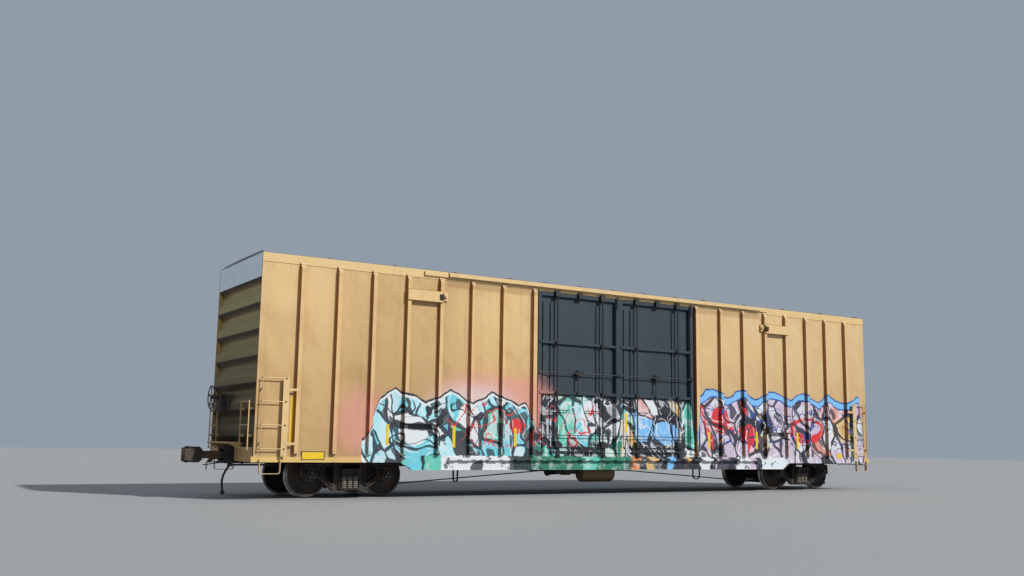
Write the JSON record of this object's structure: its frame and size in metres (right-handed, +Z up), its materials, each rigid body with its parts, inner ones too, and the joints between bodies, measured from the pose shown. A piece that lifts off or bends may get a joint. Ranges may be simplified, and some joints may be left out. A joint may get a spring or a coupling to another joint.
{
  "type": "railroad boxcar",
  "caption": "Long high-cube freight boxcar with double plug doors, outside posts, corrugated ends, knuckle couplers and two four-wheel trucks.",
  "frame": {"origin": "bottom centre of the car, level with the lowest points of the wheel flanges", "axes": "+X along the car, away from the hand brake end; +Y to the left side seen from the brake end; +Z up"},
  "size_m": [20.8208, 3.2506, 5.2074],
  "materials": {
    "body_paint": "weathered tan-yellow enamel",
    "door_paint": "weathered blue-black enamel",
    "roof_metal": "dusty, galvanised under worn paint",
    "frame_paint": "dirty black paint",
    "floor_steel": "worn steel deck",
    "truck_cast": "rusty, dusty casting",
    "spring_steel": "dirty spring steel",
    "wheel_steel": "brown film, bright tread",
    "coupler_cast": "rusty casting",
    "brake_paint": "brown-black paint",
    "hose_rubber": "matt black rubber, dusty"
  },
  "bodies": {
    "car_body": {"air_hose_a": "hose_rubber", "air_hose_b": "hose_rubber", "air_tank": "brake_paint", "body_bolsters": "frame_paint", "brake_cylinder": "brake_paint", "brake_rods": "brake_paint", "centre_sill": "frame_paint", "control_valve": "brake_paint", "coupler_yokes": "coupler_cast", "crossbearers": "frame_paint", "cut_levers": "brake_paint", "door_hood_left": "body_paint", "door_hood_right": "body_paint", "door_left_a": "door_paint", "door_left_b": "door_paint", "door_locks_left": "door_paint", "door_locks_right": "door_paint", "door_right_a": "door_paint", "door_right_b": "door_paint", "door_stops": "body_paint", "end_sills": "body_paint", "end_wall_a": "body_paint", "end_wall_b": "body_paint", "gladhands": "coupler_cast", "hand_brake": "brake_paint", "ladders_a": "body_paint", "ladders_b": "body_paint", "load_floor": "floor_steel", "platforms": "body_paint", "roof": "roof_metal", "side_plate_left": "body_paint", "side_plate_right": "body_paint", "side_posts_left": "body_paint", "side_posts_right": "body_paint", "side_sill_left": "body_paint", "side_sill_right": "body_paint", "side_wall_left_a": "body_paint", "side_wall_left_b": "body_paint", "side_wall_right_a": "body_paint", "side_wall_right_b": "body_paint", "sill_steps": "body_paint", "train_pipe": "brake_paint"},
    "truck_b": {"bearings_b": "truck_cast", "brake_beams_b": "truck_cast", "side_frames_b": "truck_cast", "springs_b": "spring_steel", "truck_bolster_b": "truck_cast"},
    "swing_coupler_b": {"coupler_b": "coupler_cast", "knuckle_b": "coupler_cast"},
    "axle_b1": {"wheelset_b1": "wheel_steel"},
    "axle_b2": {"wheelset_b2": "wheel_steel"},
    "truck_a": {"bearings_a": "truck_cast", "brake_beams_a": "truck_cast", "side_frames_a": "truck_cast", "springs_a": "spring_steel", "truck_bolster_a": "truck_cast"},
    "swing_coupler_a": {"coupler_a": "coupler_cast", "knuckle_a": "coupler_cast"},
    "axle_a1": {"wheelset_a1": "wheel_steel"},
    "axle_a2": {"wheelset_a2": "wheel_steel"}
  },
  "joints": [
    {"name": "truck_b_swivel", "type": "hinge", "parent": "car_body", "child": "truck_b", "pos_m": [-7.0485, 0, 0.6954], "axis": [0, 0, 1], "range_deg": [-8, 8]},
    {"name": "coupler_b_swing", "type": "hinge", "parent": "car_body", "child": "swing_coupler_b", "pos_m": [-8.9, 0, 0.9014], "axis": [0, 0, 1], "range_deg": [-7, 7]},
    {"name": "axle_b1_roll", "type": "hinge", "parent": "truck_b", "child": "axle_b1", "pos_m": [-7.9375, 0, 0.4826], "axis": [0, 1, 0], "continuous": true},
    {"name": "axle_b2_roll", "type": "hinge", "parent": "truck_b", "child": "axle_b2", "pos_m": [-6.1595, 0, 0.4826], "axis": [0, 1, 0], "continuous": true},
    {"name": "truck_a_swivel", "type": "hinge", "parent": "car_body", "child": "truck_a", "pos_m": [7.0485, 0, 0.6954], "axis": [0, 0, 1], "range_deg": [-8, 8]},
    {"name": "coupler_a_swing", "type": "hinge", "parent": "car_body", "child": "swing_coupler_a", "pos_m": [8.9, 0, 0.9014], "axis": [0, 0, 1], "range_deg": [-7, 7]},
    {"name": "axle_a1_roll", "type": "hinge", "parent": "truck_a", "child": "axle_a1", "pos_m": [6.1595, 0, 0.4826], "axis": [0, 1, 0], "continuous": true},
    {"name": "axle_a2_roll", "type": "hinge", "parent": "truck_a", "child": "axle_a2", "pos_m": [7.9375, 0, 0.4826], "axis": [0, 1, 0], "continuous": true}
  ]
}
